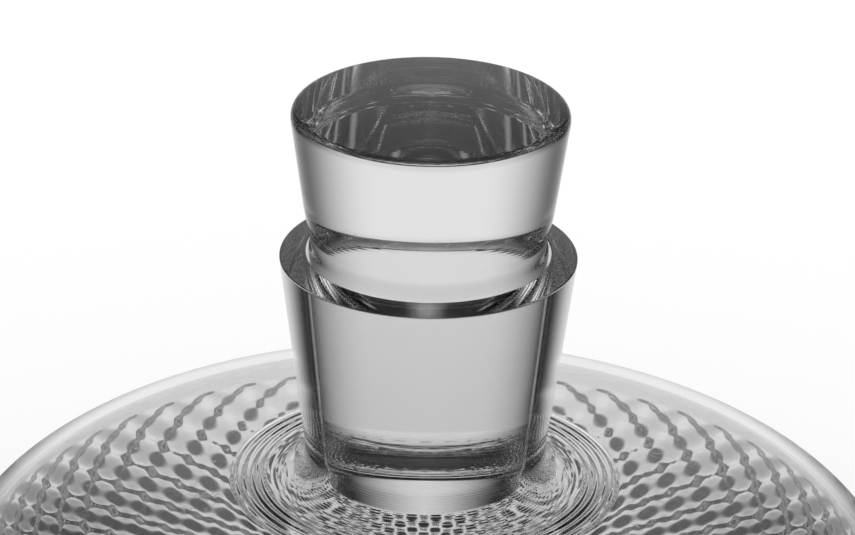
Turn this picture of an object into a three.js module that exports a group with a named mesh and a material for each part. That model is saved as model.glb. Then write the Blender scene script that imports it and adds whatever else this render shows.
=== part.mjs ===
// Low, round glass decanter with a hobnail underside and a solid glass stopper.
// Two pieces: the blown bottle (foot, bowl, shoulder and neck are one glass) and the stopper in its neck.
// Millimetres, +Z up, origin on the table under the middle of the base.
import * as THREE from 'three';

// Bottle
const BODY_RADIUS = 88.5;       // at the equator, the widest place
const EQUATOR_HEIGHT = 29;      // equator above the table
const FOOT_RADIUS = 38;         // flat ground base
const FOOT_HEIGHT = 2.5;        // bowl's lowest point above the table
const SHOULDER_RISE = 24.5;     // dome above the equator, as if it closed over the neck
const SHOULDER_FULLNESS = 3;    // 2 is an ellipse, more is fuller at the edge and flatter on top
const NECK_HEIGHT = 44;         // rim above that dome
const RIM_RADIUS = 26.9;
const NECK_SLOPE = 7.4;         // degrees, the neck flares upwards
const NECK_FILLET = 7;          // where the neck runs out into the shoulder
const RIM_ROUND = 0.3;          // rounds of the rim, lip and stopper are cut back by this much each way
const LIP_RISE = 0.95;          // rim is cut square to the flaring wall, so its inner lip is higher
const WALL = 4;
const BASE_THICKNESS = 7;

// Hobnails: a staggered lattice of bumps and dimples
const HOBNAILS_ROUND = 60;
const HOBNAIL_HEIGHT = 1.6;     // from dimple to bump
const HOBNAIL_TOP = 0.2;        // first row below the equator, in cells

// Stopper and the seat it stands in
const PLUG_RADIUS = 21.57;      // at the level of the rim
const PLUG_DEPTH = 44.2;        // plug below the rim
const SEAT_SLOPE = 5.4;         // degrees, plug and bore taper alike
const SEAT_GAP = 0.45;
const LIP_ROUND = 0.4;
const BORE_ROUND = 9;           // where the bore runs out into the inside of the shoulder
const PLUG_ROUND = 0.8;
const PLUG_TOP = 1.4;           // upper end of the taper, above the rim
const PLUG_TOP_ROUND = 0.9;
const WAIST_RADIUS = 21.05;
const WAIST_HEIGHT = 3.8;
const WAIST_ROUND = 1.1;
const HEAD_BOTTOM = 7.8;        // underside of the head, above the rim
const HEAD_BOTTOM_RADIUS = 22.3;
const HEAD_BOTTOM_ROUND = 2.8;
const HEAD_EDGE = 28.5;         // edge of the top, above the rim
const HEAD_RADIUS = 25.25;
const HEAD_ROUND = 2;
const CROWN_LEAN = 8;           // degrees, the top's slope at its edge; its middle is level

const COLUMNS = 60;             // round the smooth surfaces; twice as many round the hobnails

const rimHeight = EQUATOR_HEIGHT + SHOULDER_RISE + NECK_HEIGHT;
const neckTan = Math.tan(THREE.MathUtils.degToRad(NECK_SLOPE));
const seatTan = Math.tan(THREE.MathUtils.degToRad(SEAT_SLOPE));
const crownTan = Math.tan(THREE.MathUtils.degToRad(CROWN_LEAN));

// Points of a circular arc in the (radius, height) plane, from angle a to angle b.
function arc(centre, radius, a, b, steps) {
  const points = [];
  for (let i = 0; i <= steps; i += 1) {
    const t = a + (b - a) * i / steps;
    points.push([centre[0] + radius * Math.cos(t), centre[1] + radius * Math.sin(t)]);
  }
  return points;
}

// Outline with rounded corners: a corner [radius, height, cut] is cut back both ways and curved between.
// The first and last corners only give the directions.
function soften(corners, steps) {
  const points = [];
  for (let k = 1; k + 1 < corners.length; k += 1) {
    const corner = corners[k];
    const ends = [corners[k - 1], corners[k + 1]].map((other) => {
      const share = corner[2] / Math.hypot(other[0] - corner[0], other[1] - corner[1]);
      return [corner[0] + (other[0] - corner[0]) * share, corner[1] + (other[1] - corner[1]) * share];
    });
    for (let i = 0; i <= steps; i += 1) {
      const t = i / steps;
      points.push([0, 1].map((axis) => (
        (1 - t) ** 2 * ends[0][axis] + 2 * t * (1 - t) * corner[axis] + t * t * ends[1][axis]
      )));
    }
  }
  return points;
}

// The domed shoulder from the equator (0) up to its middle (a quarter turn), and its normal.
function domePoint(t, wide, tall) {
  return [wide * Math.cos(t) ** (2 / SHOULDER_FULLNESS), EQUATOR_HEIGHT + tall * Math.sin(t)];
}

function domeNormal(t, wide, tall) {
  const reach = Math.cos(t) ** (2 / SHOULDER_FULLNESS);
  const n = [
    SHOULDER_FULLNESS / 2 * reach ** (SHOULDER_FULLNESS - 1) / wide,
    Math.sin(t) / tall,
  ];
  const length = Math.hypot(n[0], n[1]);
  return [n[0] / length, n[1] / length];
}

// The round that is tangent to a flaring wall and to a domed shoulder below it.
// The wall passes through wallRadius at the rim and leans out by wallTan.
function shoulderRound(wallRadius, wallTan, domeRadius, domeRise, radius) {
  const lean = Math.atan(wallTan);
  const normal = [Math.cos(lean), -Math.sin(lean)];
  const centreAt = (t) => {
    const p = domePoint(t, domeRadius, domeRise);
    const n = domeNormal(t, domeRadius, domeRise);
    return [p[0] + radius * n[0], p[1] + radius * n[1]];
  };
  let low = 0;
  let high = Math.PI / 2;
  for (let i = 0; i < 60; i += 1) {
    const middle = (low + high) / 2;
    const c = centreAt(middle);
    const off = (c[0] - wallRadius) * normal[0] + (c[1] - rimHeight) * normal[1];
    if (off > radius) {
      low = middle;
    } else {
      high = middle;
    }
  }
  const n = domeNormal(low, domeRadius, domeRise);
  return {
    centre: centreAt(low),
    domeAngle: low,
    lowAngle: Math.PI + Math.atan2(n[1], n[0]),
    highAngle: Math.PI - lean,
  };
}

// One ring of vertices; offset(j) moves vertex j along the profile's normal.
function ring(radius, height, columns, normal = [0, 0], offset = () => 0) {
  const points = [];
  for (let j = 0; j < columns; j += 1) {
    const angle = 2 * Math.PI * j / columns;
    const d = offset(j);
    const r = radius + d * normal[0];
    points.push([r * Math.cos(angle), r * Math.sin(angle), height + d * normal[1]]);
  }
  return points;
}

// Closed skin over rings of 1, COLUMNS or twice COLUMNS vertices, first to last.
// A quad is split along its shorter diagonal, so the valleys run on between the bumps.
function skin(rings) {
  const positions = [];
  const index = [];
  const distance = (i, k) => Math.hypot(
    positions[3 * i] - positions[3 * k],
    positions[3 * i + 1] - positions[3 * k + 1],
    positions[3 * i + 2] - positions[3 * k + 2],
  );
  const rows = rings.map((points) => points.map((p) => {
    positions.push(...p);
    return positions.length / 3 - 1;
  }));
  for (let i = 0; i + 1 < rows.length; i += 1) {
    const a = rows[i];
    const b = rows[i + 1];
    const count = Math.max(a.length, b.length);
    const stepA = a.length / count;
    const stepB = b.length / count;
    for (let j = 0; j < count; j += 1) {
      const a0 = a[Math.floor(j * stepA)];
      const b0 = b[Math.floor(j * stepB)];
      const a1 = a[Math.floor((j + 1) * stepA) % a.length];
      const b1 = b[Math.floor((j + 1) * stepB) % b.length];
      if (a0 === a1) {
        index.push(a0, b1, b0);
      } else if (b0 === b1) {
        index.push(a0, a1, b1);
      } else if (distance(a1, b0) < distance(a0, b1) - 1e-6) {
        index.push(a0, a1, b0, a1, b1, b0);
      } else {
        index.push(a0, a1, b1, a0, b1, b0);
      }
    }
  }
  const geometry = new THREE.BufferGeometry();
  geometry.setAttribute('position', new THREE.Float32BufferAttribute(positions, 3));
  geometry.setIndex(index);
  geometry.computeVertexNormals();
  return geometry;
}

// Bottle, outside: foot, hobnail bowl, shoulder, neck, rim
function bowlPoint(a) {
  return [
    FOOT_RADIUS + (BODY_RADIUS - FOOT_RADIUS) * Math.sin(a),
    FOOT_HEIGHT + (EQUATOR_HEIGHT - FOOT_HEIGHT) * (1 - Math.cos(a)),
  ];
}

function bowlNormal(a) {
  const n = [
    (EQUATOR_HEIGHT - FOOT_HEIGHT) * Math.sin(a),
    -(BODY_RADIUS - FOOT_RADIUS) * Math.cos(a),
  ];
  const length = Math.hypot(n[0], n[1]);
  return [n[0] / length, n[1] / length];
}

// Rows of hobnails from the equator down: a row is half a cell, and a cell is as tall as it is wide.
function hobnailAngles() {
  const cellPerRadius = 2 * Math.PI / HOBNAILS_ROUND;
  const angles = [];
  const steps = 4000;
  let cells = 0;
  let next = HOBNAIL_TOP;
  for (let i = 0; i < steps; i += 1) {
    const a = (Math.PI / 2) * (1 - (i + 0.5) / steps);
    const p = bowlPoint(a + Math.PI / 4 / steps);
    const q = bowlPoint(a - Math.PI / 4 / steps);
    cells += Math.hypot(p[0] - q[0], p[1] - q[1]) / (cellPerRadius * (p[0] + q[0]) / 2);
    if (cells >= next) {
      angles.push(a);
      next += 0.5;
    }
  }
  angles.pop();
  return angles;
}

const bottleRings = [
  [[0, 0, 0]],
  ring(FOOT_RADIUS - 1.2, 0, COLUMNS),
  ring(FOOT_RADIUS - 0.2, 0.4, COLUMNS),
  ring(FOOT_RADIUS, FOOT_HEIGHT * 0.9, COLUMNS),
];
const rowAngles = hobnailAngles();
for (let k = rowAngles.length - 1; k >= 0; k -= 1) {
  const p = bowlPoint(rowAngles[k]);
  const share = k === rowAngles.length - 1 || k === 0 ? 0.5 : 1;
  const bump = (j) => share * HOBNAIL_HEIGHT / 2 * ((j + k) % 2 === 0 ? 1 : -1);
  bottleRings.push(ring(p[0], p[1], 2 * COLUMNS, bowlNormal(rowAngles[k]), bump));
}
bottleRings.push(ring(BODY_RADIUS, EQUATOR_HEIGHT, COLUMNS));
const outside = shoulderRound(RIM_RADIUS, neckTan, BODY_RADIUS, SHOULDER_RISE, NECK_FILLET);
const shoulderSteps = 9;
for (let i = 1; i < shoulderSteps; i += 1) {
  const p = domePoint(outside.domeAngle * i / shoulderSteps, BODY_RADIUS, SHOULDER_RISE);
  bottleRings.push(ring(p[0], p[1], COLUMNS));
}
const neckFillet = arc(outside.centre, NECK_FILLET, outside.lowAngle, outside.highAngle, 6);

// Bottle, inside: lip, bore, inside of the shoulder, bowl and floor
const boreRadius = PLUG_RADIUS + SEAT_GAP;
const innerRadius = BODY_RADIUS - WALL;
const innerRise = SHOULDER_RISE - WALL;
const inside = shoulderRound(boreRadius, seatTan, innerRadius, innerRise, BORE_ROUND);
const boreFillet = arc(inside.centre, BORE_ROUND, inside.highAngle, inside.lowAngle, 5);
const rim = soften([
  neckFillet[neckFillet.length - 1],
  [RIM_RADIUS, rimHeight, RIM_ROUND],
  [boreRadius + seatTan * LIP_RISE, rimHeight + LIP_RISE, LIP_ROUND],
  boreFillet[0],
], 2);
for (const p of [...neckFillet, ...rim, ...boreFillet]) {
  bottleRings.push(ring(p[0], p[1], COLUMNS));
}
const innerSteps = 7;
for (let i = innerSteps - 1; i >= 0; i -= 1) {
  const p = domePoint(inside.domeAngle * i / innerSteps, innerRadius, innerRise);
  bottleRings.push(ring(p[0], p[1], COLUMNS));
}
const floorRadius = FOOT_RADIUS - 3;
for (let i = innerSteps - 1; i >= 0; i -= 1) {
  const a = (Math.PI / 2) * i / innerSteps;
  const radius = floorRadius + (innerRadius - floorRadius) * Math.sin(a);
  const height = BASE_THICKNESS + (EQUATOR_HEIGHT - BASE_THICKNESS) * (1 - Math.cos(a));
  bottleRings.push(ring(radius, height, COLUMNS));
}
bottleRings.push([[0, 0, BASE_THICKNESS]]);

const clearGlass = new THREE.MeshStandardMaterial({
  color: 0xe9edee, roughness: 0.03, metalness: 0, transparent: true, opacity: 0.35,
});
const bottle = new THREE.Mesh(skin(bottleRings), clearGlass);
bottle.name = 'decanter';

// Stopper: a long tapered plug, a shallow waist and a head that widens to its faintly domed top
const crown = [1, 0.8, 0.6, 0.4, 0.2, 0].map((out) => (
  [HEAD_RADIUS * out, HEAD_EDGE + crownTan * HEAD_RADIUS / 2 * (1 - out * out)]
));
const stopperProfile = soften([
  [0, -PLUG_DEPTH],
  [PLUG_RADIUS - seatTan * PLUG_DEPTH, -PLUG_DEPTH, PLUG_ROUND],
  [PLUG_RADIUS + seatTan * PLUG_TOP, PLUG_TOP, PLUG_TOP_ROUND],
  [WAIST_RADIUS, WAIST_HEIGHT, WAIST_ROUND],
  [HEAD_BOTTOM_RADIUS, HEAD_BOTTOM, HEAD_BOTTOM_ROUND],
  [...crown[0], HEAD_ROUND],
  crown[1],
], 3);
const stopperRings = [
  [[0, 0, -PLUG_DEPTH]],
  ...[...stopperProfile, ...crown.slice(1, -1)].map((p) => ring(p[0], p[1], COLUMNS)),
  [[0, 0, crown[crown.length - 1][1]]],
];
const polishedGlass = new THREE.MeshStandardMaterial({
  color: 0xe6eaeb, roughness: 0.02, metalness: 0, transparent: true, opacity: 0.35,
});
const stopper = new THREE.Mesh(skin(stopperRings), polishedGlass);
stopper.name = 'stopper';
stopper.position.z = rimHeight;

const decanter = new THREE.Group();
decanter.add(bottle, stopper);

export default decanter;
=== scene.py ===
import math

import bpy
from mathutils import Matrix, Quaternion, Vector


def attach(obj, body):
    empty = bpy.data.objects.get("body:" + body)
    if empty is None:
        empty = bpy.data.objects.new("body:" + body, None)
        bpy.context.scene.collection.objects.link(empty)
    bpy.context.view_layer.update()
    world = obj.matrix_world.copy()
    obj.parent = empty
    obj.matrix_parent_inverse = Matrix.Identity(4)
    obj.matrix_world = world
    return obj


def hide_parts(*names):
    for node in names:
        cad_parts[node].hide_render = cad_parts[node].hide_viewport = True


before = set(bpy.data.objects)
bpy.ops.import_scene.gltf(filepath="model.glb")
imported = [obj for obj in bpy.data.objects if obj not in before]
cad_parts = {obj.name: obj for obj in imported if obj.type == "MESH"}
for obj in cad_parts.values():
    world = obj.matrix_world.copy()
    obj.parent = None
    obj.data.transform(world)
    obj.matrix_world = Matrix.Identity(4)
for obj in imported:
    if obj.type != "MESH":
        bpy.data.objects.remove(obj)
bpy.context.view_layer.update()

# Bottle: one piece of thick clear glass, blown into a mould that leaves staggered hobnails on the bowl.
# The shoulder is full and smooth, with faint ripples round the neck's foot; the neck flares up to a rim
# cut square to its wall, and the bore tapers for the stopper. It stands on a flat foot. Millimetres.
MM = 0.001
BODY_RADIUS = 88.5
EQUATOR_HEIGHT = 29.0
FOOT_RADIUS = 38.0
FOOT_HEIGHT = 2.5
FOOT_ROUND = 1.2
SHOULDER_RISE = 24.5
SHOULDER_FULLNESS = 3.0
RIM_HEIGHT = 97.5
RIM_RADIUS = 26.9
RIM_ROUND = 0.3
LIP_RISE = 0.95
NECK_SLOPE = math.tan(math.radians(7.4))
NECK_FILLET = 7.0
WALL = 4.0
BASE_THICKNESS = 7.0
PLUG_RADIUS = 21.57
SEAT_GAP = 0.45
SEAT_SLOPE = math.tan(math.radians(5.4))
LIP_ROUND = 0.4
BORE_ROUND = 9.0
HOBNAILS_ROUND = 60
HOBNAIL_DEPTH = 1.2
HOBNAIL_TOP = -0.1
HOBNAIL_FADE = 2.0
FIRST_ROW_FADE = 0.3
LAST_ROW_CLEAR = 0.25
LAST_ROW_FADE = 0.35
RIPPLE_HEIGHT = 0.2
RIPPLE_PITCH = 1.6
RIPPLE_END = 36.0
RIPPLE_FADE = 0.2
INNER_FLOOR_INSET = 3.0
SMOOTH_COLUMNS = 240
HOBNAIL_COLUMNS = 720
BOWL_ROWS = 130
SHOULDER_ROWS = 90
SHOULDER_CROWDING = 1.6
RIPPLE_ROWS = 50
INNER_ROWS = 40
FILLET_STEPS = 24
HALVINGS = 60
EDGE = 0.08
LONG_RUN = 6 * EDGE


def arc(centre, radius, start, end, steps):
    """Points of a circular arc in the (radius, height) plane, angles in radians."""
    turn = [start + (end - start) * i / steps for i in range(steps + 1)]
    return [(centre[0] + radius * math.cos(t), centre[1] + radius * math.sin(t)) for t in turn]


def soften(corners, steps=8):
    """An outline of (radius, height, round) corners, each cut back by its round and curved between."""
    points = []
    for before, corner, after in zip(corners, corners[1:], corners[2:]):
        ends = []
        for other in (before, after):
            share = corner[2] / math.dist(corner[:2], other[:2])
            ends.append([a + (b - a) * share for a, b in zip(corner[:2], other[:2])])
        for i in range(steps + 1):
            t = i / steps
            parts = zip(ends[0], corner, ends[1])
            points.append(tuple((1 - t) ** 2 * a + 2 * t * (1 - t) * b + t * t * c for a, b, c in parts))
    return points


def hold_edges(points):
    """Adds a close point beside each end of a long straight run, so that its shading stays straight."""
    held = []
    for here, after in zip(points, points[1:]):
        held.append(here)
        length = math.dist(here, after)
        if length > LONG_RUN:
            for step in (EDGE / length, 1 - EDGE / length):
                held.append(tuple(a + (b - a) * step for a, b in zip(here, after)))
    return held + points[-1:]


def dome_point(turn, wide=BODY_RADIUS, tall=SHOULDER_RISE):
    """The shoulder, a full and flat dome, from the equator (0) up to its middle, and its normal."""
    reach = max(0.0, math.cos(turn)) ** (2 / SHOULDER_FULLNESS)
    across = SHOULDER_FULLNESS / 2 * reach ** (SHOULDER_FULLNESS - 1) / wide
    up = math.sin(turn) / tall
    length = math.hypot(across, up)
    return (wide * reach, EQUATOR_HEIGHT + tall * math.sin(turn)), (across / length, up / length)


def shoulder_round(wall_radius, wall_slope, dome_radius, dome_rise, radius):
    """The fillet between a flaring wall and the domed shoulder below it: its points, wall end last."""
    lean = math.atan(wall_slope)

    def centre_over(t):
        point, normal = dome_point(t, dome_radius, dome_rise)
        return point[0] + radius * normal[0], point[1] + radius * normal[1]

    low, high = 0.0, math.pi / 2
    for _ in range(HALVINGS):
        middle = (low + high) / 2
        centre = centre_over(middle)
        off = (centre[0] - wall_radius) * math.cos(lean) - (centre[1] - RIM_HEIGHT) * math.sin(lean)
        if off > radius:
            low = middle
        else:
            high = middle
    across, up = dome_point(low, dome_radius, dome_rise)[1]
    points = arc(centre_over(low), radius, math.pi + math.atan2(up, across), math.pi - lean, FILLET_STEPS)
    return points, low


def plain_ring(radius, height, columns=SMOOTH_COLUMNS):
    """One ring of the turned shape, or its single middle point."""
    if radius == 0:
        return [(0.0, 0.0, height * MM)]
    turns = [2 * math.pi * i / columns for i in range(columns)]
    return [(radius * math.cos(t) * MM, radius * math.sin(t) * MM, height * MM) for t in turns]


def hobnail_ring(point, normal, cells, share):
    """One ring of the bowl, waved along the wall's normal; cells counts down from the first row.

    Hobnails get shallower with the bowl's radius, towards the foot.
    """
    ring = []
    size = (point[0] / BODY_RADIUS) ** HOBNAIL_FADE
    wave = share * HOBNAIL_DEPTH * size * math.cos(2 * math.pi * cells)
    for i in range(HOBNAIL_COLUMNS):
        turn = 2 * math.pi * i / HOBNAIL_COLUMNS
        push = wave * math.cos(HOBNAILS_ROUND * turn)
        radius = point[0] + push * normal[0]
        height = point[1] + push * normal[1]
        ring.append((radius * math.cos(turn) * MM, radius * math.sin(turn) * MM, height * MM))
    return ring


def soft_step(value):
    """0 below 0, 1 above 1 and a smooth rise between."""
    value = min(1.0, max(0.0, value))
    return value * value * (3 - 2 * value)


def turned_glass(name, rings):
    """Closed smooth mesh over rings of points; a ring may have a whole multiple of its neighbour's points."""
    points, rows = [], []
    for ring in rings:
        rows.append(range(len(points), len(points) + len(ring)))
        points.extend(ring)
    faces = []
    for lower, upper in zip(rows, rows[1:]):
        count = min(len(lower), len(upper))
        if count == 1:
            count = max(len(lower), len(upper))
        for i in range(count):
            edges = []
            for row in (lower, upper):
                if len(row) == 1:
                    edges.append([row[0]])
                else:
                    step = len(row) // count
                    edges.append([row[(i * step + k) % len(row)] for k in range(step + 1)])
            faces.append(edges[0] + edges[1][::-1])
    mesh = bpy.data.meshes.new(name)
    mesh.from_pydata(points, [], faces)
    mesh.polygons.foreach_set("use_smooth", [True] * len(mesh.polygons))
    mesh.validate()
    piece = bpy.data.objects.new(name, mesh)
    bpy.context.scene.collection.objects.link(piece)
    return piece


def bowl_point(turn):
    """Bowl's outside, a quarter ellipse from the foot (0) to the equator (a quarter turn), and its normal."""
    wide, tall = BODY_RADIUS - FOOT_RADIUS, EQUATOR_HEIGHT - FOOT_HEIGHT
    across, up = tall * math.sin(turn), -wide * math.cos(turn)
    length = math.hypot(across, up)
    point = (FOOT_RADIUS + wide * math.sin(turn), FOOT_HEIGHT + tall * (1 - math.cos(turn)))
    return point, (across / length, up / length)


def cells_between(first, second):
    """How many hobnails fit between two points of the profile; a hobnail is as tall as it is wide."""
    return math.dist(first, second) * HOBNAILS_ROUND / (math.pi * (first[0] + second[0]))


foot = [(0, 0)] + arc((FOOT_RADIUS - FOOT_ROUND, FOOT_ROUND), FOOT_ROUND, -math.pi / 2, 0, 6)
bottle_rings = [plain_ring(*point) for point in hold_edges(foot)]

bowl = [bowl_point(math.pi / 2 * i / BOWL_ROWS) for i in range(1, BOWL_ROWS + 1)]
depth = [0.0]
for (upper, _), (lower, _) in zip(bowl[::-1], bowl[-2::-1]):
    depth.append(depth[-1] + cells_between(upper, lower))
for (point, normal), down in zip(bowl, depth[::-1]):
    cells = down - HOBNAIL_TOP
    share = soft_step((cells + FIRST_ROW_FADE) / FIRST_ROW_FADE)
    share *= soft_step((depth[-1] - LAST_ROW_CLEAR - down) / LAST_ROW_FADE)
    bottle_rings.append(hobnail_ring(point, normal, cells, share))

neck_fillet, shoulder_end = shoulder_round(
    RIM_RADIUS, NECK_SLOPE, BODY_RADIUS, SHOULDER_RISE, NECK_FILLET)
ripple_start = math.acos((RIPPLE_END / BODY_RADIUS) ** (SHOULDER_FULLNESS / 2))
ripple_turn = shoulder_end - ripple_start
shoulder_turns = [ripple_start * (i / SHOULDER_ROWS) ** SHOULDER_CROWDING for i in range(1, SHOULDER_ROWS)]
shoulder_turns += [ripple_start + ripple_turn * i / RIPPLE_ROWS for i in range(RIPPLE_ROWS)]
rise = 0.0
last = bowl[-1][0]
for turn in shoulder_turns:
    point, normal = dome_point(turn)
    rise += cells_between(last, point)
    last = point
    cells = -rise - HOBNAIL_TOP
    share = soft_step((cells + FIRST_ROW_FADE) / FIRST_ROW_FADE)
    if share > 0:
        bottle_rings.append(hobnail_ring(point, normal, cells, share))
    else:
        fade = soft_step((RIPPLE_END - point[0]) / RIPPLE_PITCH)
        fade *= soft_step((shoulder_end - turn) / ripple_turn / RIPPLE_FADE)
        push = fade * RIPPLE_HEIGHT * math.cos(2 * math.pi * (RIPPLE_END - point[0]) / RIPPLE_PITCH)
        bottle_rings.append(plain_ring(point[0] + push * normal[0], point[1] + push * normal[1]))

bore_radius = PLUG_RADIUS + SEAT_GAP
inner_radius = BODY_RADIUS - WALL
inner_rise = SHOULDER_RISE - WALL
bore_fillet, inner_end = shoulder_round(bore_radius, SEAT_SLOPE, inner_radius, inner_rise, BORE_ROUND)
lip_radius = bore_radius + SEAT_SLOPE * LIP_RISE
rim_corners = [
    neck_fillet[-1],
    (RIM_RADIUS, RIM_HEIGHT, RIM_ROUND),
    (lip_radius, RIM_HEIGHT + LIP_RISE, LIP_ROUND),
    bore_fillet[-1],
]
neck = neck_fillet + soften(rim_corners) + bore_fillet[::-1]
bottle_rings += [plain_ring(*point) for point in hold_edges(neck)]

inside = []
for i in range(INNER_ROWS - 1, -1, -1):
    inside.append(dome_point(inner_end * i / INNER_ROWS, inner_radius, inner_rise)[0])
floor_radius = FOOT_RADIUS - INNER_FLOOR_INSET
floor_depth = EQUATOR_HEIGHT - BASE_THICKNESS
for i in range(INNER_ROWS - 1, -1, -1):
    turn = math.pi / 2 * i / INNER_ROWS
    radius = floor_radius + (inner_radius - floor_radius) * math.sin(turn)
    inside.append((radius, BASE_THICKNESS + floor_depth * (1 - math.cos(turn))))
inside.append((0, BASE_THICKNESS))
bottle_rings += [plain_ring(*point) for point in inside]
bottle = turned_glass("blown_bottle", bottle_rings)

# Handling marks that both pieces share: hair scratches from wiping, and a few specks of dust.
# The group gives a roughness that is near zero on clean glass, and a height for a faint bump.
HAIR_WIDTH = 0.004
PATCH_SCALE = 45.0
PATCH_EDGE = (0.5, 0.62)
SPECK_EDGE = (0.05, 0.09)
SPECK_PICK = (0.93, 0.94)
MARK_ROUGHNESS = 0.25
MARK_DEPTH = 0.02
MARK_STRENGTH = 0.2
GLASS_IOR = 1.52
COLOURLESS = (0.97, 0.97, 0.97, 1)
marks = bpy.data.node_groups.new("handling_marks", "ShaderNodeTree")
for socket, value in (("Scratch Scale", 60.0), ("Scratch Strength", 0.5), ("Speck Scale", 400.0)):
    made = marks.interface.new_socket(socket, in_out="INPUT", socket_type="NodeSocketFloat")
    made.default_value = value
marks.interface.new_socket("Roughness", in_out="OUTPUT", socket_type="NodeSocketFloat")
marks.interface.new_socket("Height", in_out="OUTPUT", socket_type="NodeSocketFloat")


def node(tree, kind, **settings):
    """A node of that kind with its settings."""
    made = tree.nodes.new(kind)
    for name, value in settings.items():
        setattr(made, name, value)
    return made


def sum_node(tree, operation, first, second=None):
    """A Math node on numbers or sockets, and its result."""
    made = node(tree, "ShaderNodeMath", operation=operation)
    for slot, value in zip(made.inputs, (first, second)):
        if isinstance(value, (int, float)):
            slot.default_value = value
        elif value is not None:
            tree.links.new(value, slot)
    return made.outputs[0]


def ramp(tree, value, start, end, low, high):
    """A smooth change from low to high while value goes from start to end."""
    made = node(tree, "ShaderNodeMapRange", interpolation_type="SMOOTHSTEP")
    tree.links.new(value, made.inputs["Value"])
    for name, number in (("From Min", start), ("From Max", end), ("To Min", low), ("To Max", high)):
        made.inputs[name].default_value = number
    return made.outputs["Result"]


given = node(marks, "NodeGroupInput")
result = node(marks, "NodeGroupOutput")
place = node(marks, "ShaderNodeTexCoord")
scratch = node(marks, "ShaderNodeTexNoise", noise_dimensions="3D")
scratch.inputs["Detail"].default_value = 2.0
scratch.inputs["Distortion"].default_value = 3.0
marks.links.new(place.outputs["Object"], scratch.inputs["Vector"])
marks.links.new(given.outputs["Scratch Scale"], scratch.inputs["Scale"])
off_middle = sum_node(marks, "ABSOLUTE", sum_node(marks, "SUBTRACT", scratch.outputs["Fac"], 0.5))
hair = ramp(marks, off_middle, 0.0, HAIR_WIDTH, 1.0, 0.0)
patch = node(marks, "ShaderNodeTexNoise", noise_dimensions="3D")
patch.inputs["Scale"].default_value = PATCH_SCALE
marks.links.new(place.outputs["Object"], patch.inputs["Vector"])
hair = sum_node(marks, "MULTIPLY", hair, ramp(marks, patch.outputs["Fac"], *PATCH_EDGE, 0.0, 1.0))
hair = sum_node(marks, "MULTIPLY", hair, given.outputs["Scratch Strength"])
speck = node(marks, "ShaderNodeTexVoronoi", feature="F1")
marks.links.new(place.outputs["Object"], speck.inputs["Vector"])
marks.links.new(given.outputs["Speck Scale"], speck.inputs["Scale"])
pick = node(marks, "ShaderNodeSeparateColor")
marks.links.new(speck.outputs["Color"], pick.inputs["Color"])
dot = ramp(marks, speck.outputs["Distance"], *SPECK_EDGE, 1.0, 0.0)
dot = sum_node(marks, "MULTIPLY", dot, ramp(marks, pick.outputs["Red"], *SPECK_PICK, 0.0, 1.0))
mark = sum_node(marks, "MAXIMUM", hair, dot)
marks.links.new(sum_node(marks, "MULTIPLY", mark, MARK_ROUGHNESS), result.inputs["Roughness"])
marks.links.new(mark, result.inputs["Height"])


def clear_glass(name, scratch_scale, scratch_strength, speck_scale):
    """Polished colourless glass with its share of handling marks."""
    material = bpy.data.materials.new(name)
    material.use_nodes = True
    tree = material.node_tree
    shader = tree.nodes["Principled BSDF"]
    shader.inputs["Base Color"].default_value = COLOURLESS
    shader.inputs["IOR"].default_value = GLASS_IOR
    shader.inputs["Transmission Weight"].default_value = 1.0
    wear = node(tree, "ShaderNodeGroup", node_tree=marks)
    wear.inputs["Scratch Scale"].default_value = scratch_scale
    wear.inputs["Scratch Strength"].default_value = scratch_strength
    wear.inputs["Speck Scale"].default_value = speck_scale
    tree.links.new(wear.outputs["Roughness"], shader.inputs["Roughness"])
    bump = node(tree, "ShaderNodeBump")
    bump.inputs["Strength"].default_value = MARK_STRENGTH
    bump.inputs["Distance"].default_value = MARK_DEPTH * MM
    tree.links.new(wear.outputs["Height"], bump.inputs["Height"])
    tree.links.new(bump.outputs["Normal"], shader.inputs["Normal"])
    return material


bottle.data.materials.append(clear_glass("bottle_clear_glass", 60, 0.3, 260))
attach(bottle, "decanter")
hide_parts("decanter")

# Stopper: a solid piece of clear glass, turned and polished, that stands loose in the bore by its weight.
# A long plug with the bore's taper ends above the rim in a shallow waist, and the head widens from there
# to a faintly domed top with a rounded edge; a hand grips it to lift it out. Heights are above the rim.
PLUG_DEPTH = 44.2
PLUG_TOP = 1.4
WAIST_RADIUS = 21.05
WAIST_HEIGHT = 3.8
HEAD_BOTTOM = 7.8
HEAD_BOTTOM_RADIUS = 22.3
HEAD_EDGE = 28.5
HEAD_RADIUS = 25.25
HEAD_ROUND = 2.0
CROWN_LEAN = 8.0
PLUG_ROUND = 0.8
PLUG_TOP_ROUND = 0.9
WAIST_ROUND = 1.1
HEAD_BOTTOM_ROUND = 2.8
CROWN_STEPS = 24
CROWN_START = 2

plug_end = PLUG_RADIUS - SEAT_SLOPE * PLUG_DEPTH
crown = []
for i in range(CROWN_STEPS + 1):
    out = 1 - i / CROWN_STEPS
    rise = math.tan(math.radians(CROWN_LEAN)) * HEAD_RADIUS / 2 * (1 - out * out)
    crown.append((HEAD_RADIUS * out, HEAD_EDGE + rise))
stopper_corners = [
    (0, -PLUG_DEPTH),
    (plug_end, -PLUG_DEPTH, PLUG_ROUND),
    (PLUG_RADIUS + SEAT_SLOPE * PLUG_TOP, PLUG_TOP, PLUG_TOP_ROUND),
    (WAIST_RADIUS, WAIST_HEIGHT, WAIST_ROUND),
    (HEAD_BOTTOM_RADIUS, HEAD_BOTTOM, HEAD_BOTTOM_ROUND),
    (*crown[0], HEAD_ROUND),
    crown[CROWN_START],
]
stopper_outline = [(0, -PLUG_DEPTH)] + hold_edges(soften(stopper_corners)) + crown[CROWN_START:]
stopper_rings = [plain_ring(r, RIM_HEIGHT + h) for r, h in hold_edges(stopper_outline)]
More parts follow.
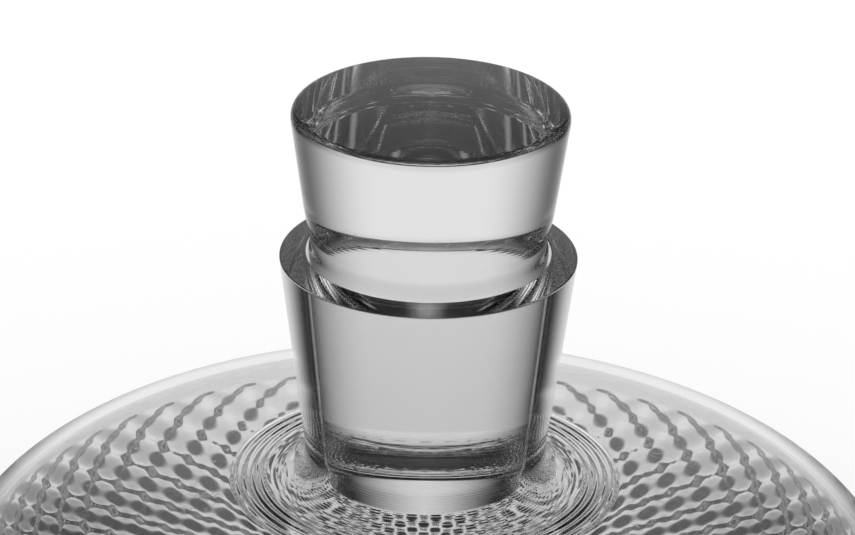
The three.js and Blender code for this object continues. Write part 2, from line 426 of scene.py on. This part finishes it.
stopper = turned_glass("solid_stopper", stopper_rings)
stopper.data.materials.append(clear_glass("stopper_clear_glass", 50, 0.6, 300))
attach(stopper, "stopper")
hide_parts("stopper")

# Studio floor: a wide sheet of matt white board that the bottle stands on, and no part of the object.
# It takes the soft shadow. To the glass it shows a painted shadow, dark near the foot where looked down on.
# Looked along, it is pale; in reflections a painted shadow also darkens it in front of the bottle.
BACKDROP_SHARE = 0.85
FLAG_SHARE = 0.015
SIDE_SHARE = 0.2
FLAG_START = 35.0
FLAG_END = 85.0
FLAG_SOFT = 20.0
FRONT_SHADE = 270.0
FRONT_SHARE = 0.02
STEEP_START = 30.0
STEEP_END = 40.0
# Painted shadow: how dark the glass sees the floor near the foot, and how far from the middle that reaches.
PAINTED_SHADOW_SHARE = 0.03
PAINTED_SHADOW_REACH = 120.0
# Painted shade: the floor that the glass sees is this much darker near the bottle, over this range.
PAINTED_NEAR_SHADE_SHARE = 0.84
PAINTED_NEAR_SHADE_RANGE = (150.0, 400.0)
FLAG_RANGE = (60.0, 140.0)
LIFT_SHARE = 0.15
LIFT_RANGE = (150.0, 1500.0)
EDGE_SOFTNESS = 0.15
BOARD_GREY = (0.85, 0.85, 0.85, 1)
BOARD_DROP = 0.3
FLOOR_HALF = 4000.0


def bearing(tree, vector):
    """Splits a vector, and gives its angle from the backdrop's middle in degrees, either way round."""
    parts = node(tree, "ShaderNodeSeparateXYZ")
    tree.links.new(vector, parts.inputs[0])
    turn = sum_node(tree, "ARCTAN2", parts.outputs["X"], parts.outputs["Y"])
    return parts, sum_node(tree, "MULTIPLY", sum_node(tree, "ABSOLUTE", turn), 180 / math.pi)


def flag_share(tree, turn):
    """1 where a dark flag stands at the side of the backdrop."""
    start = ramp(tree, turn, FLAG_START - FLAG_SOFT, FLAG_START + FLAG_SOFT, 0.0, 1.0)
    end = ramp(tree, turn, FLAG_END - FLAG_SOFT, FLAG_END + FLAG_SOFT, 1.0, 0.0)
    return sum_node(tree, "MULTIPLY", start, end)


def between(tree, share, low, high):
    """low where share is 0, high where it is 1."""
    made = node(tree, "ShaderNodeMix", data_type="FLOAT")
    for slot, value in zip(made.inputs[:1] + made.inputs[2:4], (share, low, high)):
        if isinstance(value, (int, float)):
            slot.default_value = value
        else:
            tree.links.new(value, slot)
    return made.outputs[0]


def by_distance(tree, away, reach, low, high):
    """A smooth change from low to high while the distance goes through a range in millimetres."""
    return ramp(tree, away, reach[0] * MM, reach[1] * MM, low, high)


def within(tree, away, reach):
    """1 nearer than reach, in millimetres, with a soft edge."""
    edge = (reach * (1 - EDGE_SOFTNESS), reach * (1 + EDGE_SOFTNESS))
    return by_distance(tree, away, edge, 1.0, 0.0)


def from_glass(tree, rays):
    """1 for a ray that comes from a piece of glass."""
    return sum_node(tree, "MAXIMUM", rays.outputs["Is Glossy Ray"], rays.outputs["Is Transmission Ray"])


def studio_wall(tree, rays, turn, flag):
    """How pale the glass shows the studio that way, and 1 where a reflected ray looks to the front."""
    bounced = sum_node(tree, "MINIMUM", rays.outputs["Glossy Depth"], 1.0)
    in_front = ramp(tree, turn, FLAG_END - FLAG_SOFT, FLAG_END + FLAG_SOFT, 0.0, 1.0)
    in_front = sum_node(tree, "MULTIPLY", in_front, bounced)
    pale = between(tree, in_front, BACKDROP_SHARE, FRONT_SHARE)
    side = between(tree, bounced, SIDE_SHARE, FLAG_SHARE)
    return between(tree, flag, pale, side), in_front


floor_mesh = bpy.data.meshes.new("studio_floor")
half = FLOOR_HALF * MM
corners = [(x, y, -BOARD_DROP * MM) for x, y in ((-half, -half), (half, -half), (half, half), (-half, half))]
floor_mesh.from_pydata(corners, [], [(0, 1, 2, 3)])
studio_floor = bpy.data.objects.new("studio_floor", floor_mesh)
bpy.context.scene.collection.objects.link(studio_floor)
board = bpy.data.materials.new("white_board")
board.use_nodes = True
tree = board.node_tree
tree.nodes.clear()
geometry = node(tree, "ShaderNodeNewGeometry")
parts, turn = bearing(tree, geometry.outputs["Position"])
squares = [sum_node(tree, "MULTIPLY", parts.outputs[axis], parts.outputs[axis]) for axis in "XY"]
away = sum_node(tree, "SQRT", sum_node(tree, "ADD", *squares))
rays = node(tree, "ShaderNodeLightPath")
flag = sum_node(tree, "MULTIPLY", flag_share(tree, turn), by_distance(tree, away, FLAG_RANGE, 0.0, 1.0))
pale, in_front = studio_wall(tree, rays, turn, flag)
# Painted shade: the floor that the glass sees is a little darker near the bottle.
pale = sum_node(tree, "MULTIPLY", pale, by_distance(tree, away, PAINTED_NEAR_SHADE_RANGE, PAINTED_NEAR_SHADE_SHARE, 1.0))
# Painted shadow of the bottle near its foot, which the glass sees where it looks down steeply on the floor.
slant = node(tree, "ShaderNodeLayerWeight")
slant.inputs["Blend"].default_value = 0.5
steep = [1 - math.sin(math.radians(angle)) for angle in (STEEP_END, STEEP_START)]
painted_steep_shadow = ramp(tree, slant.outputs["Facing"], *steep, 1.0, 0.0)
painted_steep_shadow = sum_node(tree, "MULTIPLY", painted_steep_shadow, within(tree, away, PAINTED_SHADOW_REACH))
# Painted shadow in front of the bottle, which the glass sees in reflections; both are mixed in below.
in_front = sum_node(tree, "MULTIPLY", in_front, within(tree, away, FRONT_SHADE))
dark = sum_node(tree, "MAXIMUM", painted_steep_shadow, in_front)
backdrop_with_painted_shadow = node(tree, "ShaderNodeEmission")
tree.links.new(between(tree, dark, pale, PAINTED_SHADOW_SHARE), backdrop_with_painted_shadow.inputs["Strength"])
matt = node(tree, "ShaderNodeBsdfDiffuse")
matt.inputs["Color"].default_value = BOARD_GREY
lift = node(tree, "ShaderNodeEmission")
lift_share = by_distance(tree, away, LIFT_RANGE, LIFT_SHARE, 1.0)
tree.links.new(sum_node(tree, "MULTIPLY", lift_share, rays.outputs["Is Camera Ray"]), lift.inputs["Strength"])
lit = node(tree, "ShaderNodeAddShader")
tree.links.new(matt.outputs[0], lit.inputs[0])
tree.links.new(lift.outputs[0], lit.inputs[1])
choose = node(tree, "ShaderNodeMixShader")
tree.links.new(from_glass(tree, rays), choose.inputs["Fac"])
tree.links.new(lit.outputs[0], choose.inputs[1])
tree.links.new(backdrop_with_painted_shadow.outputs[0], choose.inputs[2])
output = node(tree, "ShaderNodeOutputMaterial")
tree.links.new(choose.outputs[0], output.inputs["Surface"])
floor_mesh.materials.append(board)

# Studio light: an even white dome that lights the floor and stands as the white background.
# The glass shows it as a lit backdrop between two dark flags under a dark ceiling, which draw its edges,
# and at half strength in plain reflections on its outside.
CEILING_SHARE = 0.015
CEILING_START = 36.0
CEILING_END = 56.0
FLAG_LEAN = 0.6
LEAN_LIMIT = 60.0
MIRROR_SHARE = 0.5
studio = bpy.data.worlds.new("studio_light")
bpy.context.scene.world = studio
studio.use_nodes = True
tree = studio.node_tree
place = node(tree, "ShaderNodeTexCoord")
parts, turn = bearing(tree, place.outputs["Generated"])
height = sum_node(tree, "MULTIPLY", sum_node(tree, "ARCSINE", parts.outputs["Z"]), 180 / math.pi)
leaning = sum_node(tree, "MULTIPLY", sum_node(tree, "MAXIMUM", height, 0.0), FLAG_LEAN)
turn_in = sum_node(tree, "MINIMUM", sum_node(tree, "ADD", turn, leaning), LEAN_LIMIT)
turn_in = sum_node(tree, "MAXIMUM", turn_in, turn)
rays = node(tree, "ShaderNodeLightPath")
wall = studio_wall(tree, rays, turn, flag_share(tree, turn_in))[0]
overhead = ramp(tree, height, CEILING_START, CEILING_END, 0.0, 1.0)
glass_sees = between(tree, overhead, wall, CEILING_SHARE)
entered = sum_node(tree, "MINIMUM", rays.outputs["Transmission Depth"], 1.0)
glass_sees = sum_node(tree, "MULTIPLY", glass_sees, between(tree, entered, MIRROR_SHARE, 1.0))
dome = tree.nodes["Background"]
dome.inputs["Color"].default_value = (1, 1, 1, 1)
tree.links.new(between(tree, from_glass(tree, rays), 1.0, glass_sees), dome.inputs["Strength"])

# Camera: a long lens, 0.9 m from the middle of the rim and 24.7 degrees above it, rolled by one degree.
# The picture is 855 by 535 pixels, and a pixel is 0.18 mm wide at the rim.
CAMERA_AWAY = 0.9
CAMERA_RAISED = math.radians(24.7)
CAMERA_ROLL = math.radians(1.0)
PICTURE_WIDTH = 855
PIXEL = 0.18 * MM
SHIFT_PIXELS = (-1.0, -13.0)
SENSOR_WIDTH = 36
GLASS_BOUNCES = 32
photo_camera = bpy.data.cameras.new("photo_camera")
photo_camera.sensor_width = SENSOR_WIDTH
photo_camera.lens = SENSOR_WIDTH * CAMERA_AWAY / (PICTURE_WIDTH * PIXEL)
photo_camera.shift_x = SHIFT_PIXELS[0] / PICTURE_WIDTH
photo_camera.shift_y = SHIFT_PIXELS[1] / PICTURE_WIDTH
photo_camera.clip_start = 0.01
photo_camera.clip_end = 50
viewer = bpy.data.objects.new("photo_camera", photo_camera)
bpy.context.scene.collection.objects.link(viewer)
back = Vector((0, -math.cos(CAMERA_RAISED), math.sin(CAMERA_RAISED)))
viewer.location = Vector((0, 0, RIM_HEIGHT * MM)) + back * CAMERA_AWAY
viewer.rotation_mode = "QUATERNION"
viewer.rotation_quaternion = (-back).to_track_quat("-Z", "Y") @ Quaternion((0, 0, 1), CAMERA_ROLL)
bpy.context.scene.camera = viewer
bpy.context.scene.view_settings.view_transform = "Standard"
bpy.context.scene.cycles.max_bounces = GLASS_BOUNCES
bpy.context.scene.cycles.transmission_bounces = GLASS_BOUNCES
bpy.context.scene.cycles.glossy_bounces = GLASS_BOUNCES // 2
